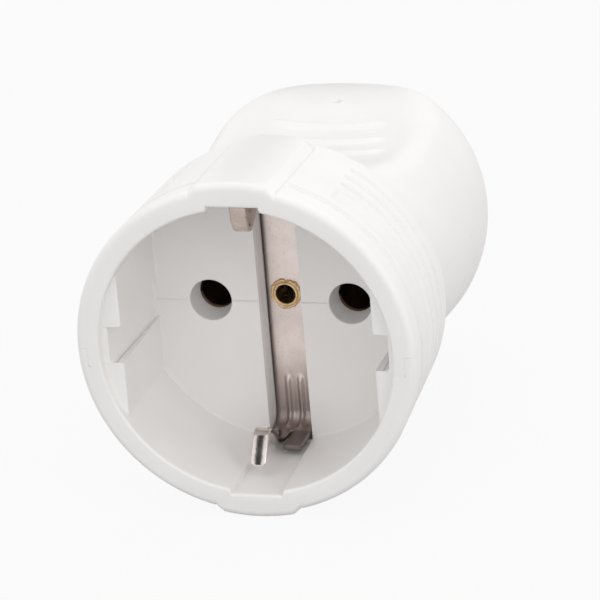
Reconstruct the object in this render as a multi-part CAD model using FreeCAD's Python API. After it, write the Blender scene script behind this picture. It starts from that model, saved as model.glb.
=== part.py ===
import FreeCAD, Part
import math
import os

os.makedirs("parts", exist_ok=True)
V = FreeCAD.Vector

# Working directions: +Y runs from the open front to the cord end, +Z is up, +X is right seen from the front.
# Shapes are drawn with the front face at y = 0 and the socket axis on z = 0, then moved once at the end.

# Fit of the plug (standard two-pin earthed plug, millimetres)
pin_pitch = 19.0
pin_hole_radius = 2.85
pin_radius = 2.4
pin_grip = 0.05
recess_radius = 19.5
recess_depth = 17.5

# Collar around the recess
rim_wall = 3.1
collar_rear_wall = 2.03
collar_overrun = 4.1
rim_edge_round = 0.9
collar_edge_round = 0.7

# Rear body behind the collar
neck_inset = 1.3
body_outset = 0.67
dome_length = 11.9
dome_drop = 6.1
wall = 2.3

# Cheeks, their guide grooves and the channels for the earth clips
cheek_thickness = 2.7
cheek_setback = 1.4
guide_width = 5.0
guide_floor_depth = 1.1
guide_mouth_depth = 2.5
channel_width = 5.2
channel_depth = 1.1
mouth_round = 0.35

# Floor plate
floor_thickness = 6.0
contact_shoulder = 3.5

# Pads over the clip channels
pad_height = 0.6
pad_half_base = 5.0
pad_half_top = 4.4
pad_length = 21.2
pad_edge_round = 0.3

# Grip grooves of the collar
groove_width = 1.3
groove_depth = 0.5
front_groove_y = 4.4
rear_groove_step = 2.8
rear_groove_back = 3.75
band_setback = 3.65
band_width = 4.2
band_depth = 0.32
front_groove_end_angle = 15.0
rear_groove_end_angle = 30.0

# Thumb scoop
scoop_hollow = 4.7
scoop_reach = 17.4
scoop_rise = 4.15
scoop_roll = 4.85
scoop_roll_lead = 0.9
scoop_edge_round = 1.2
ridge_shift = (-1.8, 2.7, 7.2)
ridge_half_length = (10.0, 9.0, 7.8)
ridge_width = 1.0
ridge_height = 0.45
ridge_bow = 25.0
gate_shift = 13.0
gate_radius = 0.45

# Joint of the two shells
joint_line = 0.16
joint_line_depth = 0.3
lap_height = 2.5
lap_gap = 0.28
lap_front_cover = 1.5
lap_rear_cover = 0.9
snap_height = 0.7
snap_reach = 0.35

# Earth strap
strap_width = 5.4
strap_thickness = 0.8
strap_side_gap = 0.2
strap_drop = 3.1
leg_wall_gap = 0.4
leg_length = 7.9
bend_radius = 1.6
nose_width = 2.25
nose_thickness = 0.6
bead_x = (-0.75, 0.95)
bead_width = 0.8
bead_height = 0.28
bead_length = 5.3

# Tubular rivet
rivet_bore_radius = 1.25
rivet_tube_radius = 1.62
rivet_flare_radius = 2.15
rivet_flare_height = 0.45

# Contacts
sleeve_wall = 0.75
sleeve_room = 10.0
sleeve_slot = 0.6
block_width = 6.4
block_height = 7.0
block_length = 7.2
wire_hole_radius = 1.55
ring_thickness = 0.5
ring_length = 2.6
ring_gap = 0.6

# Earth terminal
earth_half_width = 3.0
earth_low = 4.0
earth_tab_top = 3.2
earth_block_top = 2.6
earth_block_length = 6.0

# Terminal screws and their plates
terminal_screw_radius = 1.5
terminal_head_radius = 2.4
terminal_head_height = 1.7
plate_half = 2.7
plate_thickness = 0.7

# Housing screws and bosses
housing_screw_outset = 0.9
housing_screw_radius = 1.5
housing_core_radius = 1.25
housing_head_radius = 2.75
housing_head_height = 2.0
housing_seat_z = -8.6
housing_tip_z = 7.5
boss_radius = 3.1
boss_gap = 0.4
screw_clearance = 0.2

# Cord clamp and inlet
inlet_radius = 4.75
clamp_gap = 0.9
clamp_width = 5.6
clamp_seat_z = -0.5
clamp_arch_radius = 3.9
clamp_arch_wall = 1.3
clamp_hump_height = 6.1
clamp_ear_height = 3.1
clamp_tooth = 0.5
clamp_screw_radius = 1.1
clamp_head_radius = 2.5
clamp_head_height = 1.7
clamp_screw_grip = 7.0
post_radius = 2.7
end_room = 4.2
end_wall = 3.0

# Inner ribs
rib_thickness = 1.6
rib_top = 9.0

# Positions along the axis, from the front to the cord end
contact_x = pin_pitch / 2.0
floor_back = recess_depth + floor_thickness
sleeve_front = recess_depth + contact_shoulder
sleeve_back = floor_back + sleeve_room
sleeve_length = sleeve_back - sleeve_front
block_back = sleeve_back + block_length
block_mid = sleeve_back + block_length / 2.0
housing_screw_y = block_back + boss_gap + boss_radius
clamp_y = housing_screw_y + boss_radius + clamp_gap + clamp_width / 2.0
cavity_end = clamp_y + clamp_width / 2.0 + end_room
total_length = cavity_end + end_wall
collar_length = recess_depth + collar_overrun
body_straight_end = total_length - dome_length
body_start = collar_length - 8.6
scoop_mid_y = collar_length + scoop_reach
strap_front_y = recess_depth + strap_drop
strap_back_y = strap_front_y + strap_thickness
leg_front_y = strap_front_y - leg_length
earth_screw_y = sleeve_back + 2.9

# Radii and heights that follow from the recess
rim_radius = recess_radius + rim_wall
collar_rear_radius = recess_radius + collar_rear_wall
neck_radius = recess_radius - neck_inset
body_radius = recess_radius + body_outset
scoop_low = neck_radius - scoop_hollow
pad_reach = rim_radius + pad_height
cheek_half_span = recess_radius - cheek_thickness
guide_floor_x = cheek_half_span + guide_floor_depth
guide_mouth_x = cheek_half_span + guide_mouth_depth
channel_radius = recess_radius + channel_depth
lap_front_x = rim_radius - lap_front_cover
lap_rear_x = collar_rear_radius - lap_rear_cover
leg_z = recess_radius - strap_thickness - leg_wall_gap
strap_groove_half = strap_width / 2.0 + strap_side_gap
sleeve_bore_radius = pin_radius - pin_grip
sleeve_outer_radius = sleeve_bore_radius + sleeve_wall
block_top = block_height / 2.0
plate_top = block_top + plate_thickness
housing_screw_x = contact_x + housing_screw_outset
clamp_screw_x = clamp_arch_radius + clamp_arch_wall + clamp_head_radius + 0.1
clamp_half_length = clamp_screw_x + post_radius
clamp_top_z = clamp_seat_z + clamp_hump_height
clamp_ear_z = clamp_seat_z + clamp_ear_height
half_root = math.sqrt(0.5)
far = 3.0 * body_radius


def box(x0, x1, y0, y1, z0, z1):
    return Part.makeBox(x1 - x0, y1 - y0, z1 - z0, V(x0, y0, z0))


def rod(radius, x, y, z, direction, length):
    return Part.makeCylinder(radius, length, V(x, y, z), direction)


def turned(points):
    """Solid of revolution about the Y axis from (radius, y) points; four numbers give an arc by its middle and end."""
    edges = []
    last = V(points[0][0], points[0][1], 0)
    for item in points[1:]:
        if len(item) == 4:
            mid = V(item[0], item[1], 0)
            end = V(item[2], item[3], 0)
            edges.append(Part.Arc(last, mid, end).toShape())
        else:
            end = V(item[0], item[1], 0)
            edges.append(Part.makeLine(last, end))
        last = end
    edges.append(Part.makeLine(last, V(points[0][0], points[0][1], 0)))
    face = Part.Face(Part.Wire(edges))
    return face.revolve(V(0, 0, 0), V(0, 1, 0), 360)


def mirror_z(shape):
    return shape.mirror(V(0, 0, 0), V(0, 0, 1))


def mirror_x(shape):
    return shape.mirror(V(0, 0, 0), V(1, 0, 0))


# Outside of the two shells

def scoop_height(y):
    """Height of the scoop surface: a shallow hollow along Y that rolls down again toward the cord end."""
    hollow = scoop_low + scoop_rise * ((y - scoop_mid_y) / scoop_reach) ** 2
    roll_start = body_straight_end + scoop_roll_lead
    share = max(0.0, y - roll_start) / (total_length - roll_start)
    return hollow - scoop_roll * share ** 2


def scoop_tool(shift=0.0):
    """Everything above the scoop surface, from inside the collar to past the cord end."""
    start = body_start - 1.0
    end = total_length + 1.0
    steps = 18
    ys = [start + (end - start) * i / steps for i in range(steps + 1)]
    curve = Part.BSplineCurve()
    curve.interpolate([V(-far, y, scoop_height(y) + shift) for y in ys])
    first = V(-far, start, scoop_height(start) + shift)
    last = V(-far, end, scoop_height(end) + shift)
    high_first = V(-far, start, far)
    high_last = V(-far, end, far)
    lines = [Part.makeLine(last, high_last), Part.makeLine(high_last, high_first), Part.makeLine(high_first, first)]
    return Part.Face(Part.Wire([curve.toShape()] + lines)).extrude(V(2 * far, 0, 0))


def collar_round(inset=0.0):
    """Collar as a turned disc with both edges rounded."""
    r = rim_edge_round
    e = collar_edge_round
    rim = rim_radius - inset
    rear = collar_rear_radius - inset
    front = inset
    back = collar_length - inset
    return turned([
        (0, front),
        (rim - r, front),
        (rim - r + r * half_root, front + r - r * half_root, rim, front + r),
        (rear, back - e),
        (rear - e + e * half_root, back - e + e * half_root, rear - e, back),
        (0, back),
    ])


def body_round(inset, start, end):
    """Rear body as a slightly tapered drum whose cord end is rounded by a quarter ellipse."""
    slope = (body_radius - neck_radius) / (body_straight_end - collar_length)
    full = body_radius - inset
    rim = full - dome_drop
    centre = V(rim, body_straight_end, 0)
    ellipse = Part.Ellipse(V(rim, end, 0), V(full, body_straight_end, 0), centre)
    quarter = Part.ArcOfEllipse(ellipse, -math.pi / 2, 0).toShape()
    if quarter.distToShape(Part.Vertex(V(full, body_straight_end, 0)))[0] > 0.01:
        quarter = Part.ArcOfEllipse(ellipse, 0, math.pi / 2).toShape()
    corners = [V(rim, end, 0), V(0, end, 0), V(0, start, 0)]
    corners.append(V(full - slope * (body_straight_end - start), start, 0))
    corners.append(V(full, body_straight_end, 0))
    edges = [quarter] + [Part.makeLine(a, b) for a, b in zip(corners, corners[1:])]
    face = Part.Face(Part.Wire(Part.__sortEdges__(edges)))
    return face.revolve(V(0, 0, 0), V(0, 1, 0), 360)


def scooped(solid, shift):
    tool = scoop_tool(shift)
    return solid.cut(tool).cut(mirror_z(tool))


def pad():
    """Low pad on top of the collar: it follows the collar round one step higher, with sloping sides."""
    slope = (collar_rear_radius - rim_radius) / collar_length
    start = pad_reach - slope * pad_edge_round
    end = start + slope * pad_length
    block = turned([(0, 0), (start, 0), (end, pad_length), (0, pad_length)])
    lean = (pad_half_base - pad_half_top) / pad_height
    low = recess_radius
    wide = pad_half_base + lean * (rim_radius - low - pad_height)
    narrow = pad_half_top - lean
    high = pad_reach + 1.0
    pts = [V(-wide, -1, low), V(wide, -1, low), V(narrow, -1, high), V(-narrow, -1, high)]
    block = block.common(Part.Face(Part.makePolygon(pts + [pts[0]])).extrude(V(0, pad_length + 2, 0)))
    edges = []
    for edge in block.Edges:
        mid = edge.CenterOfMass
        if mid.z > collar_rear_radius - 0.2 and (mid.y < 0.01 or mid.y > pad_length - 0.01):
            edges.append(edge)
    return block.makeFillet(pad_edge_round, edges)


def groove_ring(y, width, depth, clear_angle):
    """Groove on the right of the collar, stopping short of both pads by the clear angle from Z."""
    slope = (collar_rear_radius - rim_radius) / collar_length
    surface = rim_radius + slope * y
    half = width / 2.0
    root = 0.25 * width
    pts = [
        V(surface + 1.0, y - half - 0.3, 0),
        V(surface + 0.02, y - half, 0),
        V(surface - depth, y - half + root, 0),
        V(surface - depth, y + half - root, 0),
        V(surface + 0.02, y + half, 0),
        V(surface + 1.0, y + half + 0.3, 0),
    ]
    face = Part.Face(Part.makePolygon(pts + [pts[0]]))
    start = 90.0 - clear_angle
    ring = face.revolve(V(0, 0, 0), V(0, 1, 0), 2 * start)
    ring.rotate(V(0, 0, 0), V(0, 1, 0), -start)
    return ring


def ridge(y, half_length):
    """One cross ridge of the scoop, bowed toward the cord end and following the hollow."""
    base = scoop_low - 2.0
    outer = rod(ridge_bow + ridge_width / 2, 0, y + ridge_bow, base, V(0, 0, 1), far)
    inner = rod(ridge_bow - ridge_width / 2, 0, y + ridge_bow, base, V(0, 0, 1), far)
    bar = outer.cut(inner)
    bar = bar.common(box(-half_length, half_length, y - 1, y + 4, base, base + 7))
    return bar.cut(scoop_tool(ridge_height))


def outside():
    rear = scooped(body_round(0.0, body_start, total_length), 0.0)
    edges = [e for e in rear.Edges if e.Length > 12 and e.CenterOfMass.y > body_start + 5 and abs(e.CenterOfMass.z) > 11]
    rear = rear.makeFillet(scoop_edge_round, edges)
    top = pad()
    body = collar_round().fuse([rear, top, mirror_z(top)])
    rings = [groove_ring(front_groove_y, groove_width, groove_depth, front_groove_end_angle)]
    last_groove = collar_length - rear_groove_back
    for step in range(3):
        rings.append(groove_ring(last_groove - step * rear_groove_step, groove_width, groove_depth, rear_groove_end_angle))
    middle = last_groove - 2 * rear_groove_step - band_setback
    rings.append(groove_ring(middle, band_width, band_depth, rear_groove_end_angle))
    body = body.cut(rings + [mirror_x(ring) for ring in rings])
    ridges = [ridge(scoop_mid_y + shift, half) for shift, half in zip(ridge_shift, ridge_half_length)]
    body = body.fuse(ridges + [mirror_z(item) for item in ridges])
    gate_y = scoop_mid_y + gate_shift
    gate = Part.makeSphere(gate_radius, V(0, gate_y, scoop_height(gate_y) + 0.1))
    return body.cut([gate, mirror_z(gate)])


# Openings of the two shells

def guide_groove():
    """Tapered guide groove in the right cheek, widening toward the mouth."""
    half = guide_width / 2.0
    low = cheek_half_span - 2.0
    pts = [V(low, -1, -half), V(guide_mouth_x, -1, -half), V(guide_floor_x, recess_depth, -half), V(low, recess_depth, -half)]
    return Part.Face(Part.makePolygon(pts + [pts[0]])).extrude(V(0, 0, guide_width))


def recess():
    round_part = rod(recess_radius, 0, 0, 0, V(0, 1, 0), recess_depth)
    half = cheek_half_span
    mouth = rod(recess_radius, 0, -1, 0, V(0, 1, 0), 1 + cheek_setback)
    space = round_part.common(box(-half, half, -1, recess_depth + 1, -far, far))
    groove = guide_groove()
    space = space.fuse([mouth, groove, mirror_x(groove)])
    flare = Part.makeCone(recess_radius + mouth_round + 0.5, recess_radius, mouth_round + 0.5, V(0, -0.5, 0), V(0, 1, 0))
    return space.fuse(flare)


def clip_channels():
    half = channel_width / 2.0
    channel = rod(channel_radius, 0, -1, 0, V(0, 1, 0), strap_back_y + 1)
    channel = channel.common(box(-half, half, -2, strap_back_y, -far, far))
    inside = leg_z - bend_radius
    return channel.cut(box(-half, half, recess_depth, strap_back_y + 2, -inside, inside))


def strap_groove():
    reach = recess_radius - 0.1
    half = strap_groove_half
    return box(-half, half, recess_depth - 0.5, strap_back_y, -reach, reach)


def pin_holes():
    tools = []
    for side in (-1, 1):
        x = side * contact_x
        tools.append(rod(pin_hole_radius, x, recess_depth - 1, 0, V(0, 1, 0), floor_thickness + 1))
        tools.append(rod(sleeve_outer_radius, x, sleeve_front, 0, V(0, 1, 0), floor_thickness))
        room = sleeve_outer_radius + ring_thickness + screw_clearance
        tools.append(rod(room, x, floor_back, 0, V(0, 1, 0), 2 * ring_gap + ring_length))
    tools.append(rod(rivet_tube_radius, 0, recess_depth, 0, V(0, 1, 0), floor_thickness + 1))
    return tools


def cavity():
    """Room for the terminals, following the outside at one wall thickness."""
    return scooped(body_round(wall, floor_back, cavity_end), -wall)


# Inside features of the shells

def contact_ribs():
    """Two cross ribs of a shell that hold the contact sleeves, notched for sleeves and middle terminal."""
    ribs = []
    for share in (0.45, 0.79):
        y = floor_back + share * sleeve_room
        ribs.append(box(-far, far, y, y + rib_thickness, -far, far))
    plate = ribs[0].fuse(ribs[1])
    start = floor_back - 1.0
    end = sleeve_back + 3.0
    cuts = [rod(sleeve_outer_radius, side * contact_x, start, 0, V(0, 1, 0), end - start) for side in (-1, 1)]
    middle = earth_half_width + 2.2
    cuts.append(box(-middle, middle, start, end, -7, 7))
    cuts.append(box(-far, far, start, end, rib_top, far))
    return plate.cut(cuts)


def pedestals():
    """Ledges of the lower shell on which the three terminal blocks stand."""
    parts = []
    for side in (-1, 1):
        x = side * contact_x
        parts.append(box(x - 2, x + 2, sleeve_back + 1, block_back - 1, -far, -block_top))
    parts.append(box(-2.2, 2.2, sleeve_back, sleeve_back + earth_block_length - 0.5, -far, -earth_low))
    return parts


def housing_bosses():
    return [rod(boss_radius, side * housing_screw_x, housing_screw_y, -far, V(0, 0, 1), 2 * far) for side in (-1, 1)]


def clamp_posts():
    """Posts for the clamp screws, with an open saddle between them that the cord lies in."""
    parts = []
    length = far + clamp_seat_z
    for side in (-1, 1):
        parts.append(rod(post_radius, side * clamp_screw_x, clamp_y, -far, V(0, 0, 1), length))
    half = clamp_width / 2.0 - 0.4
    saddle = box(-clamp_screw_x, clamp_screw_x, clamp_y - half, clamp_y + half, -far, clamp_seat_z)
    parts.append(saddle.cut(rod(inlet_radius, 0, clamp_y - clamp_width, 0, V(0, 1, 0), 2 * clamp_width)))
    return parts


def stiffening_ribs():
    """Low lengthwise ribs inside the shell roof, beside the terminals."""
    parts = []
    end = housing_screw_y + boss_radius
    for x in (-4.9, 4.9):
        parts.append(box(x - 0.6, x + 0.6, floor_back - 0.5, end, rib_top, far))
    return parts


def screw_holes_lower():
    tools = []
    wide = housing_screw_radius + screw_clearance
    well = housing_head_radius + screw_clearance
    for side in (-1, 1):
        x = side * housing_screw_x
        tools.append(rod(wide, x, housing_screw_y, -far, V(0, 0, 1), far + 1))
        tools.append(rod(well, x, housing_screw_y, -far, V(0, 0, 1), far + housing_seat_z))
        low = clamp_seat_z - clamp_screw_grip - 0.5
        tools.append(rod(clamp_screw_radius, side * clamp_screw_x, clamp_y, low, V(0, 0, 1), 1 - low))
    return tools


def screw_holes_upper():
    depth = housing_tip_z + 0.8
    tools = []
    for side in (-1, 1):
        tools.append(rod(housing_core_radius, side * housing_screw_x, housing_screw_y, -1, V(0, 0, 1), depth + 1))
    return tools


def joint_groove(core):
    """Thin dark line where the two shells meet: a slit just under the outside surface and the recess floor."""
    slab = box(-far, far, -5, total_length + 5, -joint_line / 2, joint_line / 2)
    half = guide_floor_x + 0.1
    floor_slit = box(-half, half, recess_depth - 1, recess_depth + joint_line_depth, -joint_line / 2, joint_line / 2)
    return [slab.cut(core), floor_slit]


def lap_blocks(low):
    """Tongues of the upper shell that close the joint beside the guide grooves, tapering to the floor."""
    start = cheek_half_span - 1.3
    pts = [V(start, -1, low), V(lap_front_x, -1, low), V(lap_front_x, 0, low), V(lap_rear_x, recess_depth, low)]
    pts.append(V(start, recess_depth, low))
    right = Part.Face(Part.makePolygon(pts + [pts[0]])).extrude(V(0, 0, -low))
    return right.fuse(mirror_x(right))


def snap_section(y):
    """Three-cornered section of the snap bead on the outer side of a tongue."""
    x = lap_front_x + (lap_rear_x - lap_front_x) * y / recess_depth
    z = -lap_height / 2.0
    half = snap_height / 2.0
    pts = [V(x - 0.3, y, z - half), V(x + snap_reach, y, z), V(x - 0.3, y, z + half)]
    return Part.makePolygon(pts + [pts[0]])


def snap_beads():
    bead = Part.makeLoft([snap_section(3.0), snap_section(recess_depth - 2.5)], True, True)
    return bead.fuse(mirror_x(bead))


def shells():
    whole = outside()
    rear = scooped(body_round(joint_line_depth, body_start, total_length - joint_line_depth), -joint_line_depth)
    core = collar_round(joint_line_depth).fuse(rear)
    openings = [recess(), clip_channels(), strap_groove(), cavity()]
    openings.append(rod(inlet_radius, 0, cavity_end - 2, 0, V(0, 1, 0), end_wall + 4))
    hollow = whole.cut(openings)
    hollow = hollow.cut(pin_holes())
    hollow = hollow.cut(joint_groove(core))
    big = box(-far, far, -5, total_length + 5, 0, far)
    upper_half = hollow.common(big)
    lower_half = hollow.common(mirror_z(big))

    tongue = hollow.common(lap_blocks(-lap_height))
    beads = snap_beads()
    upper = upper_half.fuse([tongue, beads])
    ribs = contact_ribs()
    room = cavity()
    inner_upper = ribs.common(big).common(room)
    upper = upper.fuse([inner_upper] + [b.common(big).common(room) for b in housing_bosses() + stiffening_ribs()])
    upper = upper.cut(screw_holes_upper())

    lower = lower_half.cut([lap_blocks(-lap_height - lap_gap), beads])
    low_box = mirror_z(big)
    inner = [ribs.common(low_box).common(room)]
    for item in pedestals() + housing_bosses():
        inner.append(item.common(low_box).common(room))
    for item in clamp_posts():
        inner.append(item.common(room))
    lower = lower.fuse(inner)
    lower = lower.cut(screw_holes_lower())
    return upper.removeSplitter(), lower.removeSplitter()


# Metal parts

def strap_profile():
    """Side view of the strap as a bent strip, extruded across its width."""
    t = strap_thickness
    r = bend_radius
    y0 = strap_front_y
    y1 = strap_back_y
    z_in = leg_z
    z_out = leg_z + t
    k = math.sqrt(0.5)
    half = []
    half.append(Part.makeLine(V(0, y0, 0), V(0, y0, z_in - r)))
    c = V(0, y0 - r, z_in - r)
    half.append(Part.Arc(V(0, y0, z_in - r), V(0, c.y + r * k, c.z + r * k), V(0, y0 - r, z_in)).toShape())
    half.append(Part.makeLine(V(0, y0 - r, z_in), V(0, leg_front_y, z_in)))
    half.append(Part.makeLine(V(0, leg_front_y, z_in), V(0, leg_front_y, z_out)))
    half.append(Part.makeLine(V(0, leg_front_y, z_out), V(0, y0 - r, z_out)))
    q = r + t
    half.append(Part.Arc(V(0, y0 - r, z_out), V(0, c.y + q * k, c.z + q * k), V(0, y1, z_in - r)).toShape())
    half.append(Part.makeLine(V(0, y1, z_in - r), V(0, y1, 0)))
    half.append(Part.makeLine(V(0, y1, 0), V(0, y0, 0)))
    return Part.Face(Part.Wire(half))


def nose():
    """Sprung nose at the end of one leg: it rises toward the axis, then turns back to the wall."""
    y0 = strap_front_y
    line = [(-3.1, 0.3), (-6.0, 0.05), (-8.4, -1.4), (-10.6, -3.35), (-12.2, -4.3), (-13.4, -3.95), (-14.2, -2.4), (-14.45, -0.2)]
    curve = Part.BSplineCurve()
    curve.interpolate([V(0, y0 + y, leg_z + z) for y, z in line])
    half = nose_thickness / 2.0
    outer = []
    inner = []
    steps = 28
    for i in range(steps + 1):
        u = curve.FirstParameter + (curve.LastParameter - curve.FirstParameter) * i / steps
        p = curve.value(u)
        d = curve.tangent(u)[0]
        n = V(0, -d.z, d.y)
        outer.append(p + n * half)
        inner.append(p - n * half)
    a = Part.BSplineCurve()
    a.interpolate(outer)
    b = Part.BSplineCurve()
    b.interpolate(inner)
    wire = Part.Wire([a.toShape(), Part.makeLine(outer[-1], inner[-1]), b.toShape(), Part.makeLine(inner[0], outer[0])])
    strip = Part.Face(wire).extrude(V(nose_width, 0, 0))
    strip.translate(V(-nose_width, 0, 0))
    return strip


def bead(x):
    """Stiffening bead pressed forward out of the strap near its bend."""
    r = bead_width / 2.0
    depth = r - bead_height
    top = leg_z - bend_radius
    line = rod(r, x, strap_front_y + depth, top - bead_length, V(0, 0, 1), bead_length)
    cap = Part.makeSphere(r, V(x, strap_front_y + depth, top - bead_length))
    front = box(-strap_width, strap_width, leg_front_y, strap_front_y + strap_thickness / 2, 0, leg_z)
    return line.fuse(cap).common(front)


def earth_strap():
    half = strap_width / 2.0
    face = strap_profile()
    strip = face.extrude(V(strap_width, 0, 0))
    strip.translate(V(-half, 0, 0))
    relief = box(-half - 1, 0.25, leg_front_y - 1, strap_front_y - bend_radius - 1.5, leg_z - 2, leg_z + 3)
    strip = strip.cut(relief)
    upper = strip.fuse([nose()] + [bead(x) for x in bead_x])
    whole = upper.fuse(mirror_z(upper))
    whole = whole.cut(rod(rivet_tube_radius, 0, strap_front_y - 2, 0, V(0, 1, 0), 4))
    return whole.removeSplitter()


def earth_rivet():
    b = rivet_bore_radius
    t = rivet_tube_radius
    f = rivet_flare_radius
    h = rivet_flare_height
    y0 = strap_front_y
    tab = floor_back + strap_thickness
    c = math.cos(math.radians(45))
    mid_r = (b + f) / 2.0
    pts = [
        (b, y0 + 0.8),
        (b + 0.12, y0 - 0.1, mid_r - 0.1, y0 - h),
        (f - 0.05, y0 - h * 0.8, f, y0),
        (t, y0),
        (t, tab),
        (f + 0.2, tab),
        (f + 0.2, tab + 0.4),
        (b, tab + 0.4),
    ]
    return turned(pts)


def earth_terminal():
    """Bracket behind the floor: a tab under the rivet, an arm and a block for the earth wire."""
    t = strap_thickness
    w = earth_half_width
    end = sleeve_back + earth_block_length - 0.5
    tab = box(-w, w, floor_back, floor_back + t, -earth_low, earth_tab_top)
    arm = box(-w, w, floor_back, sleeve_back + 0.5, -earth_low, -earth_low + t)
    block = box(-w, w, sleeve_back, end, -earth_low, earth_block_top)
    part = tab.fuse([arm, block])
    cuts = [rod(rivet_tube_radius, 0, floor_back - 1, 0, V(0, 1, 0), 4)]
    cuts.append(rod(wire_hole_radius, 0, sleeve_back + 1.1, -0.9, V(0, 1, 0), earth_block_length))
    cuts.append(rod(terminal_screw_radius, 0, earth_screw_y, -1, V(0, 0, 1), 5))
    return part.cut(cuts).removeSplitter()


def contact(side):
    """Brass sleeve for a pin with a terminal block behind it, split lengthwise so that it grips."""
    x = side * contact_x
    sleeve = rod(sleeve_outer_radius, x, sleeve_front, 0, V(0, 1, 0), sleeve_length)
    half = block_width / 2.0
    block = box(x - half, x + half, sleeve_back, block_back, -block_top, block_top)
    block = block.makeFillet(0.5, [e for e in block.Edges if abs(e.Length - block_length) < 0.01])
    part = sleeve.fuse(block)
    cuts = [rod(sleeve_bore_radius, x, sleeve_front - 1, 0, V(0, 1, 0), sleeve_length)]
    cuts.append(Part.makeCone(sleeve_bore_radius + 0.5, sleeve_bore_radius, 0.6, V(x, sleeve_front - 0.1, 0), V(0, 1, 0)))
    wide = sleeve_outer_radius + 1
    cuts.append(box(x - wide, x + wide, sleeve_front - 1, sleeve_back - 2.5, -sleeve_slot / 2, sleeve_slot / 2))
    cuts.append(rod(wire_hole_radius, x, sleeve_back + 1.0, -1.2, V(0, 1, 0), block_length))
    cuts.append(rod(terminal_screw_radius, x, block_mid, -1.2, V(0, 0, 1), 6))
    return part.cut(cuts).removeSplitter()


def spring_ring(side):
    x = side * contact_x
    y = floor_back + ring_gap
    ring = rod(sleeve_outer_radius + ring_thickness, x, y, 0, V(0, 1, 0), ring_length)
    ring = ring.cut(rod(sleeve_outer_radius, x, y - 1, 0, V(0, 1, 0), ring_length + 2))
    return ring.cut(box(x - 0.7, x + 0.7, y - 1, y + ring_length + 1, 0, 6))


def terminal_screw(x, y, seat, tip):
    """Slotted screw seen from above, head resting on its pressure plate."""
    head = rod(terminal_head_radius, x, y, seat, V(0, 0, 1), terminal_head_height)
    head = head.makeFillet(0.35, [e for e in head.Edges if e.CenterOfMass.z > seat + 1 and len(e.Vertexes) == 1])
    shank = rod(terminal_screw_radius, x, y, tip, V(0, 0, 1), seat - tip + 0.1)
    wide = terminal_head_radius + 1
    slot = box(x - wide, x + wide, y - 0.4, y + 0.4, seat + terminal_head_height - 0.9, seat + 4)
    return head.fuse(shank).cut(slot).removeSplitter()


def pressure_plate(x, y, seat):
    half = plate_half
    plate = box(x - half, x + half, y - half, y + half, seat, seat + plate_thickness)
    plate = plate.makeFillet(0.6, [e for e in plate.Edges if abs(e.Length - plate_thickness) < 0.01])
    return plate.cut(rod(terminal_screw_radius, x, y, seat - 1, V(0, 0, 1), 4))


def clamp_bar():
    """Bridge that presses on the cord, seated on two posts of the lower shell."""
    w = clamp_width / 2.0
    low = clamp_y - w
    high = clamp_y + w
    reach = clamp_arch_radius + clamp_arch_wall
    bar = box(-clamp_half_length, clamp_half_length, low, high, clamp_seat_z, clamp_ear_z)
    hump = box(-reach, reach, low, high, clamp_seat_z, clamp_top_z)
    shoulders = [e for e in hump.Edges if abs(abs(e.CenterOfMass.x) - reach) < 0.01 and e.CenterOfMass.z > clamp_top_z - 0.1]
    hump = hump.makeFillet(2.2, shoulders)
    bar = bar.makeFillet(1.6, [e for e in bar.Edges if abs(e.Length - clamp_ear_height) < 0.01])
    part = bar.fuse(hump)
    part = part.cut(rod(clamp_arch_radius, 0, low - 1, 0, V(0, 1, 0), clamp_width + 2))
    for shift in (-clamp_width / 4.0, clamp_width / 4.0):
        tooth = rod(clamp_arch_radius + 0.3, 0, clamp_y + shift - 0.4, 0, V(0, 1, 0), 0.8)
        tooth = tooth.cut(rod(clamp_arch_radius - clamp_tooth, 0, low - 1, 0, V(0, 1, 0), clamp_width + 2))
        part = part.fuse(tooth.common(box(-reach, reach, low, high, 1.6, clamp_top_z)))
    for side in (-1, 1):
        part = part.cut(rod(clamp_screw_radius + 0.5, side * clamp_screw_x, clamp_y, -2, V(0, 0, 1), 9))
    return part.removeSplitter()


def clamp_screw(side):
    x = side * clamp_screw_x
    top = clamp_ear_z + clamp_head_height
    head = rod(clamp_head_radius, x, clamp_y, clamp_ear_z, V(0, 0, 1), clamp_head_height)
    head = head.makeFillet(0.4, [e for e in head.Edges if e.CenterOfMass.z > top - 0.1 and len(e.Vertexes) == 1])
    tip = clamp_seat_z - clamp_screw_grip
    shank = rod(clamp_screw_radius, x, clamp_y, tip, V(0, 0, 1), clamp_ear_z - tip + 0.1)
    cross = box(x - 1.5, x + 1.5, clamp_y - 0.35, clamp_y + 0.35, top - 0.9, top + 1)
    other = box(x - 0.35, x + 0.35, clamp_y - 1.5, clamp_y + 1.5, top - 0.9, top + 1)
    return head.fuse(shank).cut([cross, other]).removeSplitter()


def housing_screw(side):
    """Cross-slotted screw with a pan head at the bottom of its well, driven upward."""
    x = side * housing_screw_x
    y = housing_screw_y
    low = housing_seat_z - housing_head_height
    head = rod(housing_head_radius, x, y, low, V(0, 0, 1), housing_head_height)
    head = head.makeFillet(0.6, [e for e in head.Edges if e.CenterOfMass.z < low + 0.5 and len(e.Vertexes) == 1])
    shank = rod(housing_core_radius, x, y, housing_seat_z - 0.1, V(0, 0, 1), housing_tip_z - housing_seat_z - 0.9)
    tip = Part.makeCone(housing_core_radius, 0.4, 1.0, V(x, y, housing_tip_z - 1.0), V(0, 0, 1))
    cross = box(x - 1.7, x + 1.7, y - 0.4, y + 0.4, low - 1, low + 1.2)
    other = box(x - 0.4, x + 0.4, y - 1.7, y + 1.7, low - 1, low + 1.2)
    return head.fuse([shank, tip]).cut([cross, other]).removeSplitter()


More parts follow.
